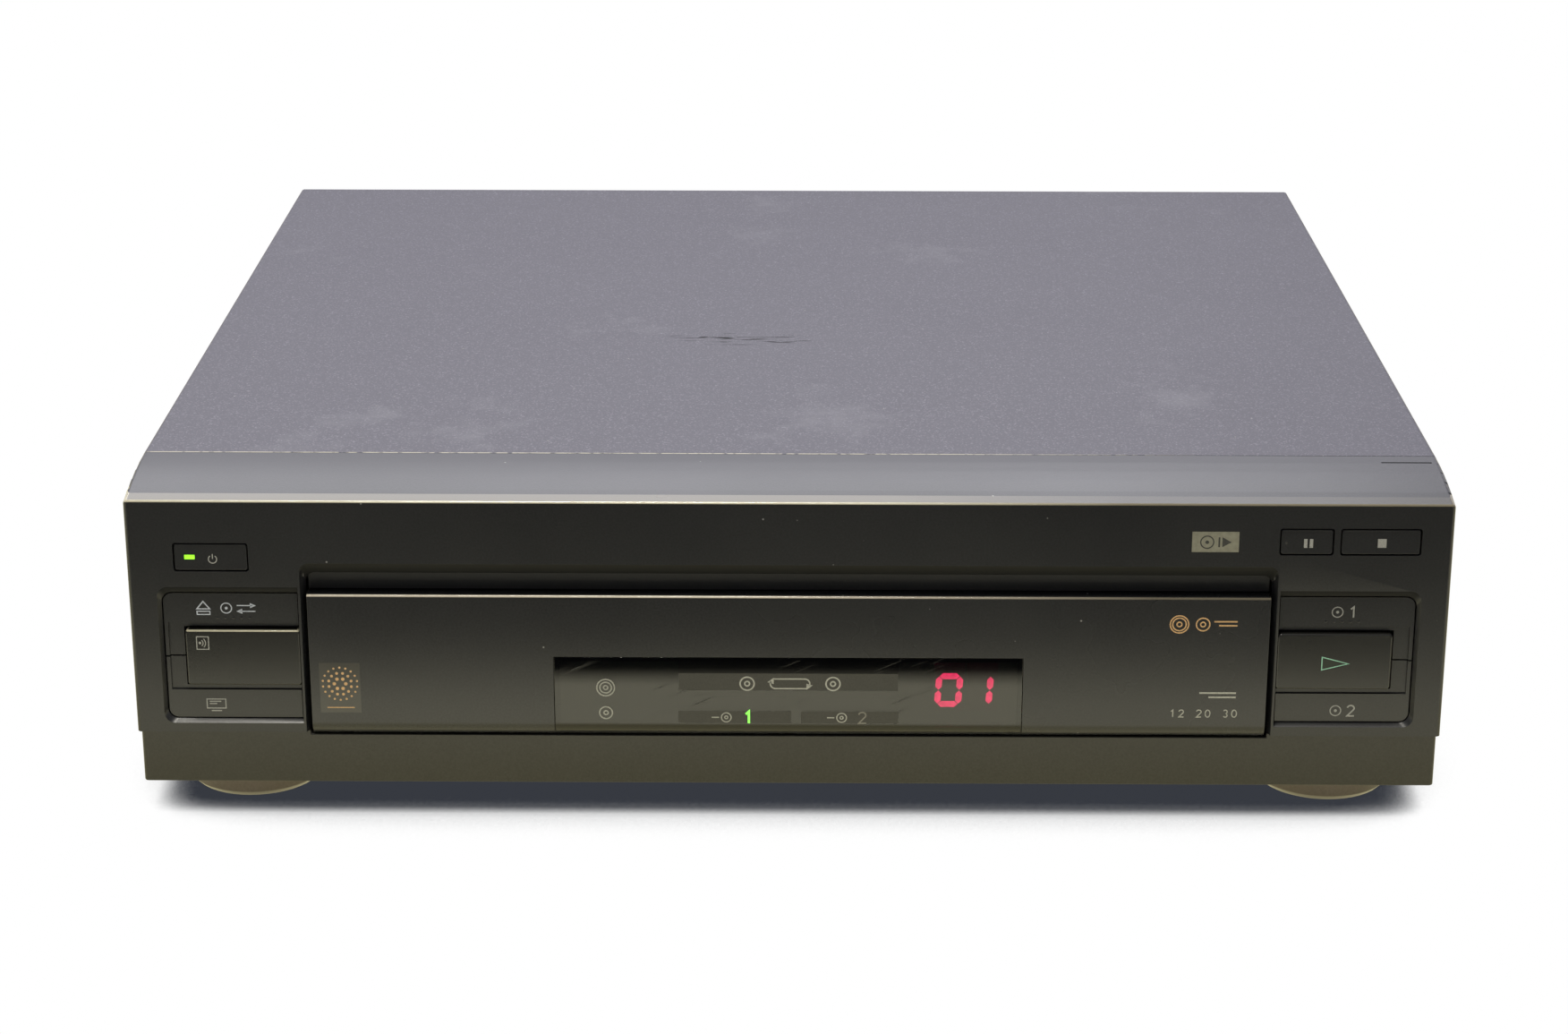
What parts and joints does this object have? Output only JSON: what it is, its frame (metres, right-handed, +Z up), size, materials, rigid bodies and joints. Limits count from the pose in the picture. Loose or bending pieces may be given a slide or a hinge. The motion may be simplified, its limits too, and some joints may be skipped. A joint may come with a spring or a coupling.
{
  "type": "laserdisc player",
  "caption": "Full-width laserdisc player with a sliding disc tray, push keys, a spindle with clamp, a belt-driven loader and a pickup that turns over to play both sides.",
  "frame": {"origin": "under the middle of the case, on the surface that the feet stand on", "axes": "+X to the right seen from the front, +Y to the back, +Z up"},
  "size_m": [0.434, 0.412, 0.1156],
  "materials": {
    "chassis_steel": "zinc-plated sheet, satin",
    "cover_paint": "fine-textured charcoal paint",
    "rear_paint": "satin charcoal paint",
    "screw_black": "black-plated",
    "fascia_plastic": "satin charcoal",
    "plinth_plastic": "satin charcoal",
    "foot_plastic": "warm grey, metallic look",
    "pad_rubber": "matt",
    "key_plastic": "satin charcoal",
    "light_green": "lit light guide",
    "switch_plastic": "black",
    "bar_plastic": "smoked, satin",
    "board_laminate": "green solder mask",
    "badge_metal": "brushed",
    "tray_front_plastic": "satin charcoal",
    "smoked_window": "smoked, clear",
    "tray_plastic": "fine grain black",
    "deck_steel": "zinc-plated sheet",
    "motor_steel": "drawn steel can",
    "brass_part": "turned",
    "gear_plastic": "natural acetal",
    "pin_steel": "ground",
    "belt_rubber": "matt",
    "platter_aluminium": "turned",
    "channel_aluminium": "cast, machined rails",
    "sled_cast": "die-cast",
    "lens_glass": "coated",
    "drum_plastic": "glass-filled, dark grey",
    "digit_red": "lit numeral module",
    "lamp_plastic": "dark lamp box",
    "chip_plastic": "epoxy",
    "jack_metal": "nickel plated"
  },
  "bodies": {
    "case": {"bottom_chassis": "chassis_steel", "top_cover": "cover_paint", "case_screws": "screw_black", "front_fascia": "fascia_plastic", "plinth_strip": "plinth_plastic", "feet": "foot_plastic", "foot_pads": "pad_rubber", "tact_switches": "switch_plastic", "play_bar": "bar_plastic", "sensor_bar": "bar_plastic", "key_boards": "board_laminate", "badge_plate": "badge_metal", "tray_guides": "tray_plastic", "mech_deck": "deck_steel", "deck_posts": "deck_steel", "loading_motor": "motor_steel", "deck_pins": "pin_steel", "loading_belt": "belt_rubber", "clamp_post": "deck_steel", "lower_channel": "channel_aluminium", "upper_channel": "channel_aluminium", "feed_racks": "gear_plastic", "turn_bracket": "deck_steel", "turn_motor": "motor_steel", "display_board": "board_laminate", "digit_modules": "digit_red", "lamp_modules": "lamp_plastic", "main_board": "board_laminate", "main_chips": "chip_plastic", "transformer": "motor_steel", "power_board": "board_laminate", "rear_jacks": "jack_metal", "jack_housing": "switch_plastic", "mains_bush": "switch_plastic", "rear_panel": "rear_paint"},
    "tray": {"tray_front": "tray_front_plastic", "display_window": "smoked_window", "tray_carrier": "tray_plastic", "tray_pads": "pad_rubber"},
    "flap": {"dust_flap": "tray_plastic"},
    "power_key": {"power_button": "key_plastic", "power_light": "light_green"},
    "pause_key": {"pause_button": "key_plastic"},
    "stop_key": {"stop_button": "key_plastic"},
    "open_key": {"open_close_key": "key_plastic"},
    "display_key_body": {"display_key": "key_plastic"},
    "side_one": {"side_one_key": "key_plastic"},
    "side_two": {"side_two_key": "key_plastic"},
    "load_wheel": {"drive_wheel": "gear_plastic"},
    "load_pulley": {"loading_pulley": "gear_plastic"},
    "motor_wheel": {"motor_pulley": "brass_part"},
    "spindle": {"spindle_motor": "motor_steel"},
    "platter": {"turntable": "platter_aluminium"},
    "clamp": {"clamp_arm": "deck_steel"},
    "clamp_disc": {"clamper": "gear_plastic"},
    "drum": {"turnover_drum": "drum_plastic"},
    "turn_wheel": {"turn_pinion": "brass_part"},
    "sled": {"pickup_sled": "sled_cast", "objective_lens": "lens_glass"},
    "feed_wheel": {"feed_pinion": "gear_plastic"}
  },
  "joints": [
    {"name": "tray_slide", "type": "slide", "parent": "case", "child": "tray", "axis": [0, -1, 0], "range_m": [0, 0.31]},
    {"name": "flap_hinge", "type": "hinge", "parent": "case", "child": "flap", "pos_m": [0, -0.1988, 0.087], "axis": [1, 0, 0], "range_deg": [0, 70], "stiffness_Nm_per_rad": 0.0005, "springref_deg": -20.05},
    {"name": "power_push", "type": "slide", "parent": "case", "child": "power_key", "axis": [0, 1, 0], "range_m": [0, 0.0015], "stiffness_N_per_m": 400, "springref_m": -0.0008},
    {"name": "pause_push", "type": "slide", "parent": "case", "child": "pause_key", "axis": [0, 1, 0], "range_m": [0, 0.0015], "stiffness_N_per_m": 400, "springref_m": -0.0008},
    {"name": "stop_push", "type": "slide", "parent": "case", "child": "stop_key", "axis": [0, 1, 0], "range_m": [0, 0.0015], "stiffness_N_per_m": 400, "springref_m": -0.0008},
    {"name": "open_push", "type": "slide", "parent": "case", "child": "open_key", "axis": [0, 1, 0], "range_m": [0, 0.0015], "stiffness_N_per_m": 400, "springref_m": -0.0008},
    {"name": "display_push", "type": "slide", "parent": "case", "child": "display_key_body", "axis": [0, 1, 0], "range_m": [0, 0.0015], "stiffness_N_per_m": 400, "springref_m": -0.0008},
    {"name": "side_one_push", "type": "slide", "parent": "case", "child": "side_one", "axis": [0, 1, 0], "range_m": [0, 0.0015], "stiffness_N_per_m": 400, "springref_m": -0.0008},
    {"name": "side_two_push", "type": "slide", "parent": "case", "child": "side_two", "axis": [0, 1, 0], "range_m": [0, 0.0015], "stiffness_N_per_m": 400, "springref_m": -0.0008},
    {"name": "drive_wheel_spin", "type": "hinge", "parent": "case", "child": "load_wheel", "pos_m": [0.1357, -0.17, 0.059], "axis": [0, 0, 1], "range_deg": [-1691.6, 0]},
    {"name": "loading_pulley_spin", "type": "hinge", "parent": "case", "child": "load_pulley", "pos_m": [0.11802, -0.15232, 0.05], "axis": [0, 0, 1], "range_deg": [0, 4349.81]},
    {"name": "motor_pulley_spin", "type": "hinge", "parent": "case", "child": "motor_wheel", "pos_m": [0.07002, -0.15232, 0.05], "axis": [0, 0, 1], "range_deg": [0, 16529.26]},
    {"name": "spindle_lift", "type": "slide", "parent": "case", "child": "spindle", "axis": [0, 0, 1], "range_m": [-0.008, 0]},
    {"name": "platter_spin", "type": "hinge", "parent": "spindle", "child": "platter", "pos_m": [0, -0.034, 0.072], "axis": [0, 0, 1], "continuous": true},
    {"name": "clamp_lift", "type": "hinge", "parent": "case", "child": "clamp", "pos_m": [-0.1554, -0.034, 0.0903], "axis": [0, -1, 0], "range_deg": [0, 3.21]},
    {"name": "clamper_spin", "type": "hinge", "parent": "clamp", "child": "clamp_disc", "pos_m": [0, -0.034, 0.0773], "axis": [0, 0, 1], "continuous": true},
    {"name": "pickup_turn", "type": "hinge", "parent": "case", "child": "drum", "pos_m": [0, 0.178, 0.0753], "axis": [0, 1, 0], "range_deg": [0, 180]},
    {"name": "turn_pinion_spin", "type": "hinge", "parent": "case", "child": "turn_wheel", "pos_m": [-0.048, 0.173, 0.0753], "axis": [0, 1, 0], "range_deg": [-540.01, 0]},
    {"name": "pickup_feed", "type": "slide", "parent": "drum", "child": "sled", "axis": [0, -1, 0], "range_m": [0, 0.144]},
    {"name": "feed_pinion_spin", "type": "hinge", "parent": "sled", "child": "feed_wheel", "pos_m": [0.0145, 0.1505, 0.0508], "axis": [0, 0, 1], "range_deg": [0, 1178.67]}
  ],
  "couplings": [
    {"joint": "drive_wheel_spin", "follows": "tray_slide", "rad_per_m": -95.238},
    {"joint": "loading_pulley_spin", "follows": "tray_slide", "rad_per_m": 244.9},
    {"joint": "motor_pulley_spin", "follows": "tray_slide", "rad_per_m": 930.61},
    {"joint": "clamp_lift", "follows": "spindle_lift", "rad_per_m": -6.9813},
    {"joint": "turn_pinion_spin", "follows": "pickup_turn", "ratio": -3},
    {"joint": "feed_pinion_spin", "follows": "pickup_feed", "rad_per_m": 142.86}
  ]
}
